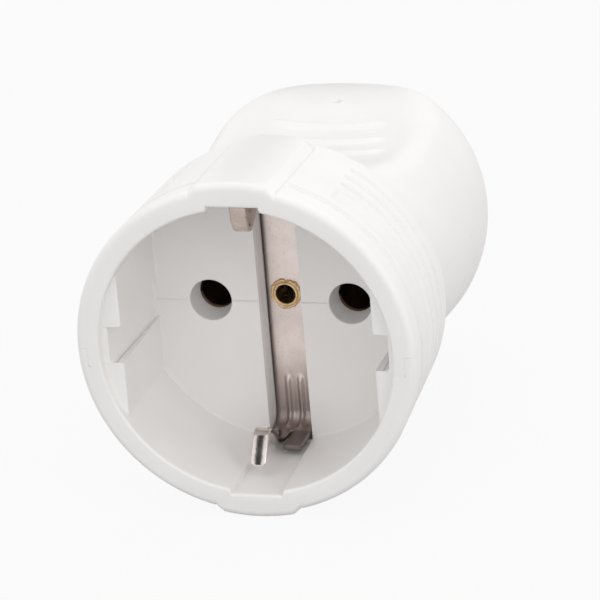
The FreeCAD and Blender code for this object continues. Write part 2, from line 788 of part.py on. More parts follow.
def build():
    upper, lower = shells()
    nodes = {"upper_shell": upper, "lower_shell": lower}
    nodes["earth_strap"] = earth_strap()
    nodes["earth_rivet"] = earth_rivet()
    nodes["earth_terminal"] = earth_terminal()
    for name, side in (("line", -1), ("neutral", 1)):
        x = side * contact_x
        nodes[name + "_contact"] = contact(side)
        nodes[name + "_contact_spring"] = spring_ring(side)
        nodes[name + "_pressure_plate"] = pressure_plate(x, block_mid, block_top)
        nodes[name + "_terminal_screw"] = terminal_screw(x, block_mid, plate_top, 0.6)
    nodes["earth_pressure_plate"] = pressure_plate(0, earth_screw_y, earth_block_top)
    nodes["earth_terminal_screw"] = terminal_screw(0, earth_screw_y, earth_block_top + plate_thickness, 0.9)
    nodes["cord_clamp_bar"] = clamp_bar()
    nodes["cord_clamp_screw_left"] = clamp_screw(-1)
    nodes["cord_clamp_screw_right"] = clamp_screw(1)
    nodes["housing_screw_left"] = housing_screw(-1)
    nodes["housing_screw_right"] = housing_screw(1)
    return nodes


# The frame origin is the bottom centre of the whole object's box.
offset = V(0, -total_length / 2.0, pad_reach)
for name, shape in build().items():
    shape.translate(offset)
    if not shape.isValid() or len(shape.Solids) != 1:
        print("check", name, shape.isValid(), len(shape.Solids))
    if len(shape.Solids) == 1:
        shape = shape.Solids[0]
    shape.exportStep("parts/" + name + ".step")
    size = shape.BoundBox
    print(name, round(shape.Volume, 1), round(size.XLength, 2), round(size.YLength, 2), round(size.ZLength, 2))
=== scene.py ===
import bpy
import numpy as np
from mathutils import Matrix, Vector


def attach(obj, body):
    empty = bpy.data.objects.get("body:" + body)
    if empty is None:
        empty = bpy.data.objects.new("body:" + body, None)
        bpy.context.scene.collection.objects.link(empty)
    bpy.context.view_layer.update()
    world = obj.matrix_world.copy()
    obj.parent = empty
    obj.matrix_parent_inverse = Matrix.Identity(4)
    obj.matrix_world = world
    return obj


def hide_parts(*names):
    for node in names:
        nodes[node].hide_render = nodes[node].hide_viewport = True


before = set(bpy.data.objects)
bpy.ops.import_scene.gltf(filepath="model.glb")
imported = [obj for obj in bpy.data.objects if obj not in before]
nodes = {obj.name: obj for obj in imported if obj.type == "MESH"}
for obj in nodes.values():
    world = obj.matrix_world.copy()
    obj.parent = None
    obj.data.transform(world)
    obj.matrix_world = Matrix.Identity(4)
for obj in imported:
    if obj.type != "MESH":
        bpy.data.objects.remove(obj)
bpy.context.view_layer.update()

# Rear bodies of the two shells
# The grip behind the collar is two injection-moulded halves in white plastic, held by two screws from below.
# Each has a thumb scoop with three cross ridges, a gate mark, a domed cord end and half of the cord inlet.

connector_length = 61.0
axis_height = 23.2
collar_back = 21.6
neck_radius = 18.2
body_radius = 20.17
dome_start = 49.1
dome_drop = 6.1
body_overlap = 0.4
end_face_radius = body_radius - dome_drop - 0.3
inlet_radius = 4.75
inlet_round = 0.35
inlet_depth = 3.0
inlet_ring = 0.9
scoop_low = 13.5
scoop_middle = 39.0
scoop_reach = 17.4
scoop_rise = 4.15
scoop_roll = 4.85
scoop_roll_start = 50.0
scoop_edge_blend = 2.0
ridge_y_and_half = ((37.2, 10.0), (41.7, 9.0), (46.2, 7.8))
ridge_bow = 25.0
ridge_end_fade = 2.2
ridge_front = 1.7
ridge_back = 0.4
ridge_height = 0.36
gate_y = 52.0
gate_radius = 0.5
gate_edge = 0.16
gate_depth = 0.6
joint_half = 0.02
joint_depth = 0.3
well_x = 10.4
well_y = 44.2
well_radius = 2.95
well_lip = 0.35
well_depth = 1.5


def smooth_step(t):
    """0 below 0, 1 above 1, and a soft S between."""
    t = np.clip(t, 0.0, 1.0)
    return t * t * (3.0 - 2.0 * t)


def smooth_min(a, b, width):
    """The smaller of two fields, rounded off where they differ by less than the width."""
    share = np.clip(0.5 + 0.5 * (b - a) / width, 0.0, 1.0)
    return b + (a - b) * share - width * share * (1.0 - share)


def place(x, y, z):
    """Connector millimetres (right, back from the front face, up from the axis) to metres in the frame."""
    x, y, z = np.broadcast_arrays(x, y, z)
    return np.stack([x, y - connector_length / 2.0, z + axis_height], axis=-1) * 0.001


def grid_faces(rows, columns, first, turn):
    """Corner numbers of the quads of one grid, counted row by row from the first point."""
    i, j = np.meshgrid(np.arange(rows - 1), np.arange(columns - 1), indexing="ij")
    a = first + i * columns + j
    corners = np.stack([a, a + 1, a + columns + 1, a + columns], axis=-1).reshape(-1, 4)
    return corners[:, ::-1] if turn else corners


def make_piece(name, sheets, material, replaced):
    """One smooth mesh from point grids; each sheet is (points, turn the faces over, mask of faces kept)."""
    points = []
    faces = []
    first = 0
    for sheet, turn, kept in sheets:
        rows, columns = sheet.shape[:2]
        corners = grid_faces(rows, columns, first, turn)
        if kept is not None:
            corners = corners[kept.ravel()]
        points.append(sheet.reshape(-1, 3))
        faces.append(corners)
        first += rows * columns
    mesh = bpy.data.meshes.new(name)
    mesh.from_pydata(np.concatenate(points).tolist(), [], np.concatenate(faces).tolist())
    mesh.validate()
    mesh.shade_smooth()
    mesh.materials.append(material)
    piece = bpy.data.objects.new(name, mesh)
    bpy.context.scene.collection.objects.link(piece)
    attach(piece, "root")
    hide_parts(replaced)


def scoop_surface(x, y):
    """Height of the scoop over the axis: a long parabola that rolls down at the rear, plus ridges along
    shallow arcs that rise slowly at their front and fall off steeply behind, less the round gate mark."""
    height = scoop_low + scoop_rise * ((y - scoop_middle) / scoop_reach) ** 2
    back = np.clip((y - scoop_roll_start) / (connector_length - scoop_roll_start), 0.0, None)
    height = height - scoop_roll * back**2
    for start, half in ridge_y_and_half:
        behind = y - start - x**2 / (2.0 * ridge_bow)
        crest = smooth_step(1.0 + behind / ridge_front) * smooth_step(1.0 - behind / ridge_back)
        height = height + ridge_height * crest * smooth_step((half - np.abs(x)) / ridge_end_fade)
    gate = np.hypot(x, y - gate_y)
    return height - gate_depth * smooth_step((gate_radius - gate) / gate_edge)


def body_profile(y):
    """Radius of the drum at y: a slight cone that ends in a quarter ellipse."""
    cone = neck_radius + (body_radius - neck_radius) * (y - collar_back) / (dome_start - collar_back)
    reach = np.clip((y - dome_start) / (connector_length - dome_start), 0.0, 1.0)
    return np.where(y < dome_start, cone, body_radius - dome_drop * (1.0 - np.sqrt(1.0 - reach**2)))


def rear_body(half):
    """Grid of one half body: rows run from the collar over the dome into the inlet, columns go round the
    axis. The radius is the smaller of the drum and the scoop seen along that direction, rounded where they
    meet. Rows are closer over the ridges and the gate mark, and the columns at the joint fold into it."""
    y = np.concatenate([
        np.linspace(collar_back - body_overlap, 36.0, 22), np.linspace(36.2, 49.0, 82),
        np.linspace(49.2, 51.3, 9),
        np.linspace(gate_y - 0.6, gate_y + 0.6, 13), np.linspace(52.9, 58.6, 16),
    ])
    angle = np.arcsin((y[-1] - dome_start) / (connector_length - dome_start))
    turn = np.linspace(angle, np.pi / 2, 18)[1:]
    y = np.append(y, dome_start + (connector_length - dome_start) * np.sin(turn))
    radius = body_profile(y)
    flat = np.linspace(radius[-1] - 0.4, inlet_radius + inlet_ring, 8)
    lip = np.linspace(0, np.pi / 2, 6)
    y_lip = connector_length - inlet_round + inlet_round * np.cos(lip)
    y_tail = np.concatenate([np.full(len(flat), connector_length), y_lip])
    r_tail = np.concatenate([flat, inlet_radius + inlet_round - inlet_round * np.sin(lip)])
    y = np.concatenate([y, y_tail, [connector_length - inlet_depth]])
    radius = np.concatenate([radius, r_tail, [inlet_radius]])
    quarter = np.concatenate([
        [0.0], np.linspace(0.15, 35, 24), np.linspace(36, 60, 40), np.linspace(61, 87, 24),
    ])
    degrees = np.concatenate([quarter, np.linspace(87.5, 92.5, 15), 180.0 - quarter[::-1]])
    phi = np.radians(degrees)[None, :]
    y = y[:, None]
    rise = np.maximum(np.sin(phi), 1e-3)
    x_plane = scoop_low * np.cos(phi) / rise
    plane = scoop_surface(np.clip(x_plane, -30, 30), y) / rise
    r = smooth_min(radius[:, None] + 0 * phi, plane, scoop_edge_blend)
    end_face = radius[:, None] < end_face_radius
    r = np.where(end_face, radius[:, None] + 0 * phi, r)
    x = r * np.cos(phi)
    z = np.maximum(r * np.sin(phi), joint_half)
    along = y + 0 * phi
    step = np.hypot(np.gradient(radius), np.gradient(y[:, 0]))
    axial = (np.gradient(radius) / np.maximum(step, 1e-9))[:, None]
    radial = np.sqrt(np.clip(1.0 - axial**2, 0.0, 1.0))
    fold_x = x[:, [0, -1]] * (1.0 - joint_depth * radial / np.maximum(r[:, [0, -1]], 1.0))
    fold_y = along[:, [0, -1]] + joint_depth * np.where(axial < 0, axial, 0.0)
    x = np.hstack([fold_x[:, :1], x, fold_x[:, 1:]])
    z = np.hstack([0 * z[:, :1], z, 0 * z[:, :1]])
    along = np.hstack([fold_y[:, :1], along, fold_y[:, 1:]])
    return x, along, z * half


def well_mask(x, y, z):
    """Opens the two screw wells: points just inside a circle are pushed out onto it, and the faces within it
    are dropped."""
    kept = np.ones((x.shape[0] - 1, x.shape[1] - 1), bool)
    for side in (-1, 1):
        dx = x - side * well_x
        dy = y - well_y
        away = np.hypot(dx, dy)
        edge = well_radius + well_lip
        inside = (z < -scoop_low * 0.8) & (away < edge)
        core = inside.copy()
        for shift in (-1, 1):
            core &= np.roll(inside, shift, 0) & np.roll(inside, shift, 1)
            core &= np.roll(np.roll(inside, shift, 0), 1, 1) & np.roll(np.roll(inside, shift, 0), -1, 1)
        border = inside & ~core
        x = np.where(border, side * well_x + dx * edge / np.maximum(away, 1e-9), x)
        y = np.where(border, well_y + dy * edge / np.maximum(away, 1e-9), y)
        kept &= ~(inside[:-1, :-1] & inside[1:, :-1] & inside[:-1, 1:] & inside[1:, 1:])
    return x, y, kept


# White plastic
# Both halves are moulded in glossy white plastic with a very fine surface grain and a faint cloudiness.

def moulded_plastic(name, color, roughness):
    """Glossy moulding: a faint cloudiness in the colour, a roughness that varies with it, and a fine grain
    as bump."""
    material = bpy.data.materials.new(name)
    material.use_nodes = True
    tree = material.node_tree
    shader = tree.nodes["Principled BSDF"]
    shader.inputs["IOR"].default_value = 1.49
    coords = tree.nodes.new("ShaderNodeTexCoord")
    cloud = tree.nodes.new("ShaderNodeTexNoise")
    cloud.inputs["Scale"].default_value = 90.0
    cloud.inputs["Detail"].default_value = 4.0
    tree.links.new(coords.outputs["Object"], cloud.inputs["Vector"])
    tint = tree.nodes.new("ShaderNodeValToRGB")
    tint.color_ramp.elements[0].position = 0.3
    tint.color_ramp.elements[0].color = (color[0] * 0.965, color[1] * 0.965, color[2] * 0.955, 1.0)
    tint.color_ramp.elements[1].position = 0.7
    tint.color_ramp.elements[1].color = (*color, 1.0)
    tree.links.new(cloud.outputs["Fac"], tint.inputs["Fac"])
    tree.links.new(tint.outputs["Color"], shader.inputs["Base Color"])
    gloss = tree.nodes.new("ShaderNodeMapRange")
    gloss.inputs["To Min"].default_value = roughness - 0.06
    gloss.inputs["To Max"].default_value = roughness + 0.08
    tree.links.new(cloud.outputs["Fac"], gloss.inputs["Value"])
    tree.links.new(gloss.outputs["Result"], shader.inputs["Roughness"])
    grain = tree.nodes.new("ShaderNodeTexNoise")
    grain.inputs["Scale"].default_value = 2600.0
    grain.inputs["Detail"].default_value = 2.0
    tree.links.new(coords.outputs["Object"], grain.inputs["Vector"])
    bump = tree.nodes.new("ShaderNodeBump")
    bump.inputs["Strength"].default_value = 0.05
    bump.inputs["Distance"].default_value = 0.0001
    tree.links.new(grain.outputs["Fac"], bump.inputs["Height"])
    tree.links.new(bump.outputs["Normal"], shader.inputs["Normal"])
    return material


shell_white = moulded_plastic("shell_white", (0.925, 0.905, 0.897), 0.36)


# Collar
# The collar round the recess is one moulding with each half body. It has finger grooves that stop short of
# two low pads, which cover the channels of the earth clips at the top and bottom.

rim_radius = 22.6
collar_rear_radius = 21.53
collar_taper = (rim_radius - collar_rear_radius) / collar_back
collar_step = 1.8
rim_end_y = 5.0
rim_round = 0.9
collar_round = 0.7
face_inner = 21.1
groove_half = 0.65
groove_flank = 0.3
groove_depth = 0.6
groove_end_fade = 2.2
front_groove_y = 4.4
rear_groove_y = (12.25, 15.05, 17.85)
front_groove_end = 15.0
rear_groove_end = 30.0
band_y = 8.6
band_half = 2.1
band_flank = 0.4
band_depth = 0.32
pad_half = 5.6
pad_slope = 1.1
pad_foot_depth = 0.14
pad_foot_width = 0.22
pad_foot_offset = 0.1
pad_edge_blend = 0.2
pad_corner_blend = 0.3
pad_back = 0.6
pad_height = 0.6
pad_length = 21.2
pad_corner = 1.6
tongue_low = 2.5
tongue_side = 21.1
lap_gap = 0.012


def collar_relief(x, y, phi):
    """Height over the plain collar: the pads up, with a fine line round their foot, and the grooves and the
    wide shallow band down, with soft flanks. The field is 0 at a pad's foot and 1 on its top."""
    from_top = np.abs(90.0 - np.degrees(phi))
    side = (pad_half - np.abs(x)) / pad_slope
    rear = (pad_length - y) / pad_back
    corner = (pad_half - np.abs(x) + pad_length - y - pad_corner) / (1.2 * pad_slope)
    field = smooth_min(smooth_min(side, rear, pad_edge_blend), corner, pad_corner_blend)
    pad = np.clip(field, 0.0, 1.0)
    foot = pad_foot_depth * smooth_step(1.0 - np.abs(field + pad_foot_offset) / pad_foot_width)
    depth = groove_depth * smooth_step((groove_half - np.abs(y - front_groove_y)) / groove_flank)
    depth = depth * smooth_step((from_top - front_groove_end) / groove_end_fade)
    rear_fade = smooth_step((from_top - rear_groove_end) / groove_end_fade)
    for middle in rear_groove_y:
        groove = smooth_step((groove_half - np.abs(y - middle)) / groove_flank)
        depth = depth + groove_depth * groove * rear_fade
    depth = depth + band_depth * smooth_step((band_half - np.abs(y - band_y)) / band_flank) * rear_fade
    return pad_height * pad - np.maximum(depth * (1.0 - pad), foot)


def collar(half):
    """Grid of one half collar: rows run from the step behind the collar over its edge, along the grooves and
    round the rim onto the flat front face; the radius is a slight cone plus the relief. The columns at the
    joint fold into it, and the lower half leaves a notch for the tongue of the upper one."""
    bend = np.linspace(0, np.pi / 2, 7)
    rear = rim_radius - collar_taper * collar_back
    step_r = np.linspace(neck_radius - collar_step, rear - collar_round, 6)[:-1]
    rear_r = rear - collar_round + collar_round * np.sin(bend)
    rear_y = collar_back - collar_round + collar_round * np.cos(bend)
    long_y = np.linspace(collar_back - collar_round, rim_round, 122)[1:-1]
    long_r = rim_radius - collar_taper * long_y
    front_r = rim_radius - collar_taper * rim_round - rim_round + rim_round * np.cos(bend)
    front_y = rim_round - rim_round * np.sin(bend)
    face_r = [front_r[-1] - 0.15, front_r[-1] - 0.3, face_inner]
    radius = np.concatenate([step_r, rear_r, long_r, front_r, face_r])
    y = np.concatenate([np.full(len(step_r), collar_back), rear_y, long_y, front_y, [0.0, 0.0, 0.0]])
    share = np.ones(len(y))
    share[:len(step_r)] = np.linspace(0.0, 0.8, len(step_r))
    share[-1] = 0.0
    quarter = np.concatenate([
        [0.0, 0.15, 2.0, 4.0, 6.0, 7.3, 7.7, 8.2], np.linspace(10, 56, 25), np.linspace(56.5, 61, 13),
        np.linspace(61.8, 71.4, 9), np.linspace(72.0, 80.4, 34),
    ])
    degrees = np.concatenate([quarter, np.linspace(81.5, 98.5, 12), 180.0 - quarter[::-1]])
    phi = np.radians(degrees)[None, :]
    base = radius[:, None] + 0 * phi
    along = y[:, None] + 0 * phi
    relief = collar_relief(base * np.cos(phi), along, phi)
    r = base + relief * share[:, None]
    x = r * np.cos(phi)
    z = r * np.sin(phi)
    if half < 0:
        innermost = (np.arange(len(y)) == len(y) - 1)[:, None]
        notch = innermost & (z < tongue_low + lap_gap)
        x = np.where(notch, np.sign(x) * (tongue_side + lap_gap), x)
    z = np.maximum(z, joint_half)
    slope_r = np.gradient(radius)
    slope_y = np.gradient(y)
    size = np.maximum(np.hypot(slope_r, slope_y), 1e-9)
    inward_r = (-np.abs(slope_y) / size)[:, None]
    inward_y = (np.where(y < rim_end_y, 1.0, -1.0) * np.abs(slope_r) / size)[:, None]
    fold_x = x[:, [0, -1]] * (1.0 + joint_depth * inward_r / base[:, [0, -1]])
    fold_y = along[:, [0, -1]] + joint_depth * inward_y
    x = np.hstack([fold_x[:, :1], x, fold_x[:, 1:]])
    z = np.hstack([0 * z[:, :1], z, 0 * z[:, :1]])
    along = np.hstack([fold_y[:, :1], along, fold_y[:, 1:]])
    return x, along, z * half


def notch_wall(side):
    """Upright wall in the lower rim that the tongue of the upper half lies against."""
    y = np.array([0.0, 0.6, 1.2])[:, None]
    z = np.array([0.0, tongue_low / 2.0, tongue_low + lap_gap])[None, :]
    return side * (tongue_side + lap_gap) + 0 * (y + z), y + 0 * z, 0 * y - z


# Recess
# The round recess for the plug has a flat cheek on each side with a tapered guide groove, and a channel at
# the top and bottom for the earth clips. Tongues of the upper half carry the guide grooves over the joint.

recess_radius = 19.5
recess_depth = 17.5
mouth_round = 0.4
floor_fillet = 0.25
fillet_height = 0.3
cheek_x = 16.8
cheek_start = 1.4
cheek_edge = 0.24
guide_half = 2.5
guide_edge = 0.12
guide_mouth_x = 18.9
guide_floor_x = 17.3
guide_lead = 1.0
channel_mouth_half = 3.5
channel_floor_half = 2.9
channel_edge = 0.22
channel_mouth_share = 1.04
round_end_share = 1.12
channel_flat = 19.85
beside_cheek = 0
on_round = 1
in_channel = 2


def recess_wall(half):
    """Grid of one half of the recess wall: rows run from the rim face over the mouth edge down to the floor.
    Each column stays in one zone: it keeps its height beside the cheek, its angle on the round part and its x
    in the channel. The cheek or the guide groove limits x, and the channel takes z out to its flat bottom,
    both by soft steps. The upper half reaches below the axis as the tongue; the other side is mirrored."""
    end_z = np.sqrt(recess_radius**2 - cheek_x**2)
    if half > 0:
        low = np.array([-2.5, -2.47, -2.2, -1.2, 0.0, 1.0, 1.8, 2.2])
    else:
        low = np.array([tongue_low + lap_gap])
    edge = np.array([2.36, 2.42, 2.46, 2.5, 2.54, 2.58, 2.64, 2.8]) if half > 0 else np.array([2.54, 2.85])
    z_part = np.concatenate([low, edge, np.linspace(3.2, end_z, 12)])
    x_part = np.sqrt(recess_radius**2 - z_part**2)
    angle = np.arctan2(end_z, cheek_x)
    arc = np.linspace(0, 1, 42)[1:]
    inside = np.array([1.08, 1.045, 1.03, 1.015, 1.0, 0.985, 0.97, 0.94, 0.85, 0.6, 0.3, 0.0])
    zone = np.repeat([beside_cheek, on_round, in_channel], [len(z_part), len(arc), len(inside)])
    bend = np.linspace(0, np.pi / 2, 6)
    y = np.concatenate([
        mouth_round * (1 - np.cos(bend)), [0.6, 0.9, 1.15, 1.25, 1.3, 1.35, 1.4, 1.45, 1.5, 1.55, 1.65, 2.0],
        np.linspace(3.0, 16.5, 14), [17.0, 17.2, 17.35, 17.45, recess_depth],
    ])
    widen = np.zeros(len(y))
    widen[:len(bend)] = mouth_round * (1 - np.sin(bend))
    widen = widen - floor_fillet * smooth_step((y - recess_depth + fillet_height) / fillet_height) ** 2
    deep = y[:, None]
    channel_half = channel_mouth_half + (channel_floor_half - channel_mouth_half) * deep / recess_depth
    stop = np.arccos(round_end_share * channel_half / recess_radius)
    turn = angle + (stop - angle) * arc
    x0 = np.hstack([x_part + 0 * deep, recess_radius * np.cos(turn), channel_half * inside])
    z0 = np.sqrt(recess_radius**2 - x0**2)
    z0[:, :len(z_part)] = z_part
    guide_y = deep + guide_lead
    guide_x = guide_mouth_x + (guide_floor_x - guide_mouth_x) * guide_y / (recess_depth + guide_lead)
    guide = smooth_step(0.5 + (guide_half - np.abs(z0)) / guide_edge) if half > 0 else 0.0 * z0
    limit = cheek_x + (guide_x - cheek_x) * guide
    past = smooth_step(0.5 + (deep - cheek_start) / cheek_edge)
    x_cheek = x0 + (np.minimum(x0, limit) - x0) * past
    x = np.where(zone == beside_cheek, x_cheek, x0)
    sunk = smooth_step((channel_half * channel_mouth_share - x0) / channel_edge)
    z = np.where(zone == in_channel, z0 + (channel_flat - z0) * sunk, z0)
    radial = np.hypot(x0, z0)
    share_x = np.where(zone == beside_cheek, 1.0, np.where(zone == on_round, x0 / radial, 0.0))
    share_z = np.where(zone == in_channel, 1.0, np.where(zone == on_round, z0 / radial, 0.0))
    x = x + widen[:, None] * share_x
    z = z + widen[:, None] * share_z
    x1 = x0[:1]
    z1 = z0[:1]
    level_x = np.sqrt(face_inner**2 - np.minimum(z1, 12.0) ** 2)
    upright_z = np.sqrt(face_inner**2 - x1**2)
    outer_x = np.where(zone == beside_cheek, level_x, face_inner * x1 / radial[:1])
    outer_x = np.where(zone == in_channel, x1, outer_x)
    outer_z = np.where(zone == in_channel, upright_z, face_inner * z1 / radial[:1])
    outer_z = np.where(zone == beside_cheek, z1, outer_z)
    if half > 0:
        outer_x = np.where((zone == beside_cheek) & (z1 < 0.5), tongue_side, outer_x)
    x = np.vstack([outer_x, x])
    z = np.vstack([outer_z, z])
    y = np.concatenate([[0.0], y])
    fold = tongue_side if half > 0 else tongue_side + lap_gap
    x = np.hstack([np.full((len(y), 1), fold), x])
    z = np.hstack([z[:, :1], z])
    x = np.hstack([x, -x[:, -2::-1]])
    z = np.hstack([z, z[:, -2::-1]])
    along = y[:, None] + 0 * x
    return x, along, z * half


# Recess floor
# The floor carries two pin holes and the long groove that the earth strap lies in. It is split along the
# middle like the rest of the housing.

pin_x = 9.5
pin_hole_radius = 2.85
hole_round = 0.18
hole_taper_start = 0.9
hole_depth = 3.45
hole_end_radius = 2.43
floor_overlap = 0.08
groove_side = 2.9
groove_round = 0.12
strap_groove_end = 19.4
strap_back = 21.4
rivet_room = 1.7
cavity_start = 23.4
cavity_end = 58.2
cavity_wall = 0.8
seat_end = 23.6
seat_radius = 3.3
crease_angle = 0.5


def floor_field(half, side):
    """Flat sheet round one pin hole as rays from the hole's centre: they run from inside the tapered hole
    over its rounded edge out to the strap groove, the cheek or the round wall, whichever comes first."""
    beyond = 99.0
    tiny = 1e-6
    degrees = np.concatenate([np.linspace(0, 30, 26), np.linspace(32, 150, 50), np.linspace(152, 180, 12)])
    theta = np.radians(degrees)
    cos = np.cos(theta)
    sin = np.maximum(np.sin(theta), tiny)
    far_cheek = np.where(cos > tiny, (cheek_x - pin_x) / np.maximum(cos, tiny), beyond)
    far_guide = np.where(cos > tiny, (guide_floor_x - pin_x) / np.maximum(cos, tiny), beyond)
    corner = np.arctan2(guide_half, cheek_x - pin_x)
    far_side = np.where(theta < corner, np.minimum(far_guide, guide_half / sin), far_cheek)
    far_groove = np.where(cos < -tiny, (pin_x - groove_side) / np.maximum(-cos, tiny), beyond)
    far_wall = -pin_x * cos + np.sqrt(recess_radius**2 - (pin_x * np.sin(theta)) ** 2)
    reach = np.minimum(np.minimum(far_side, far_groove), far_wall)
    reach = reach + np.where(reach < far_groove - tiny, floor_overlap, 0.0)
    bend = np.linspace(0, np.pi / 2, 6)
    behind = np.concatenate([[hole_depth, hole_taper_start], hole_round * (1 - np.sin(bend))])
    edge_r = pin_hole_radius + hole_round * (1 - np.cos(bend))
    hole_r = np.concatenate([[hole_end_radius, pin_hole_radius], edge_r])
    share = np.linspace(0, 1, 9)[1:, None]
    field = hole_r[-1] + (reach[None, :] - hole_r[-1]) * share
    radius = np.vstack([hole_r[:, None] + 0 * field[:1], field])
    y = recess_depth + np.concatenate([behind, np.zeros(len(share))])[:, None] + 0 * radius
    x = pin_x + radius * cos
    z = np.maximum(radius * np.sin(theta), joint_half)
    deeper = np.where(np.arange(len(y)) < len(hole_r) - 1, 0.0, joint_depth)[:, None]
    x = np.hstack([x[:, :1], x, x[:, -1:]])
    z = np.hstack([0 * z[:, :1], z, 0 * z[:, :1]])
    y = np.hstack([y[:, :1] + deeper, y, y[:, -1:] + deeper])
    return side * x, y, z * half


def strap_groove(half):
    """Half of the groove across the floor as a U-shaped profile carried from the middle to the clip channel.
    The faces under the rivet are left open for its bore."""
    floor_y = strap_back - recess_depth
    outside = groove_round * np.array([1.0, 1 / 3, 0.0, 0.0, 0.0])
    u_x = np.concatenate([groove_side + outside, [rivet_room, 0.0]])
    u_y = recess_depth + np.array([0.0, groove_round / 4, groove_round, 2.0, floor_y, floor_y, floor_y])
    u_x = np.concatenate([u_x, -u_x[-2::-1]])
    u_y = np.concatenate([u_y, u_y[-2::-1]])
    z = np.array([0.0, rivet_room, 6.0, 12.0, strap_groove_end])[:, None]
    kept = np.ones((4, len(u_x) - 1), bool)
    kept[0, 5:7] = False
    return (u_x + 0 * z, u_y + 0 * z, (z + 0 * u_x) * half), kept


def channel_end(half):
    """Deep end of the clip channel, from the floor level to the bottom of the strap groove."""
    side = channel_floor_half
    x = np.array([side + 0.02, side, side * 0.5, 0.0, -side * 0.5, -side, -side - 0.02])
    top = np.full(7, channel_flat)
    top[[0, -1]] = recess_radius - 0.4
    y = np.array([recess_depth - 0.3, strap_back, strap_back])[:, None]
    x = x + 0 * y
    z = top + 0 * y
    z[2] = strap_groove_end - 1.0
    return x, y + 0 * x, z * half


def joined_copy(name, keep):
    """Faces of a CAD node whose middle passes the test, copied and merged, for the inner side of a shell."""
    source = nodes[name].data
    points = np.empty(len(source.vertices) * 3)
    source.vertices.foreach_get("co", points)
    points = points.reshape(-1, 3)
    corners = np.empty(len(source.loops), dtype=np.int32)
    source.loops.foreach_get("vertex_index", corners)
    corners = corners.reshape(-1, 3)
    middle = points[corners].mean(axis=1) * 1000.0
    chosen = corners[keep(middle[:, 0], middle[:, 1] + connector_length / 2.0, middle[:, 2] - axis_height)]
    merged, number = np.unique(np.round(points, 7), axis=0, return_inverse=True)
    used, faces = np.unique(number.ravel()[chosen], return_inverse=True)
    return merged[used], faces.reshape(-1, 3)


def inner_faces(x, y, z):
    """True for the cavity behind the floor, its ribs and posts, and the contact seats inside the floor."""
    beside_ridges = np.full_like(x, 50.0)
    cavity = (y > cavity_start) & (y < cavity_end) & (np.hypot(x, z) < body_profile(y) - cavity_wall)
    cavity &= np.abs(z) < scoop_surface(beside_ridges, y) - cavity_wall
    seats = (y > recess_depth + hole_depth - 0.05) & (y <= seat_end)
    seats &= np.hypot(np.abs(x) - pin_x, z) < seat_radius
    return cavity | seats


def well_wall(side):
    """Wall of one screw well: a circle carried inward from its rounded edge on the underside, whose height is
    found by repeated substitution."""
    bend = np.linspace(0, np.pi / 2, 6)
    radius = np.concatenate([well_radius + well_lip * (1 - np.sin(bend)), [well_radius]])[:, None]
    inward = np.concatenate([well_lip * (1 - np.cos(bend)), [well_depth]])[:, None]
    angle = np.linspace(0, 2 * np.pi, 73)[None, :]
    edge_x = side * well_x + (well_radius + well_lip) * np.cos(angle)
    edge_y = well_y + (well_radius + well_lip) * np.sin(angle)
    height = scoop_surface(edge_x, edge_y)
    for _ in range(8):
        rise = height / np.hypot(edge_x, height)
        r = smooth_min(body_profile(edge_y), scoop_surface(edge_x, edge_y) / rise, scoop_edge_blend)
        height = np.sqrt(r**2 - edge_x**2)
    x = side * well_x + radius * np.cos(angle)
    y = well_y + radius * np.sin(angle)
    return x, y, inward - height


for node_name, piece_name, half in (("upper_shell", "upper_half", 1), ("lower_shell", "lower_half", -1)):
    x, y, z = rear_body(half)
    kept = None
    if half < 0:
        x, y, kept = well_mask(x, y, z)
    sheets = [
        (place(x, y, z), half > 0, kept),
        (place(*collar(half)), half < 0, None),
        (place(*recess_wall(half)), half < 0, None),
    ]
    for side in (-1, 1):
        sheets.append((place(*floor_field(half, side)), half * side > 0, None))
        if half < 0:
            sheets.append((place(*well_wall(side)), True, None))
            sheets.append((place(*notch_wall(side)), side < 0, None))
    groove, groove_kept = strap_groove(half)
    sheets.append((place(*groove), half > 0, groove_kept))
    sheets.append((place(*channel_end(half)), half < 0, None))
    make_piece(piece_name, sheets, shell_white, node_name)
    points, faces = joined_copy(node_name, inner_faces)
    mesh = bpy.data.meshes.new(piece_name + "_inside")
    mesh.from_pydata(points.tolist(), [], faces.tolist())
    mesh.validate()
    mesh.materials.append(shell_white)
    mesh.shade_smooth()
    mesh.set_sharp_from_angle(angle=crease_angle)
    inside = bpy.data.objects.new(piece_name + "_inside", mesh)
    bpy.context.scene.collection.objects.link(inside)
    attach(inside, "root")
    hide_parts(node_name)


# Metal of the terminals and screws
# Inside the grip sit brass contacts with steel spring rings, zinc-plated screws and a plastic clamp bar.

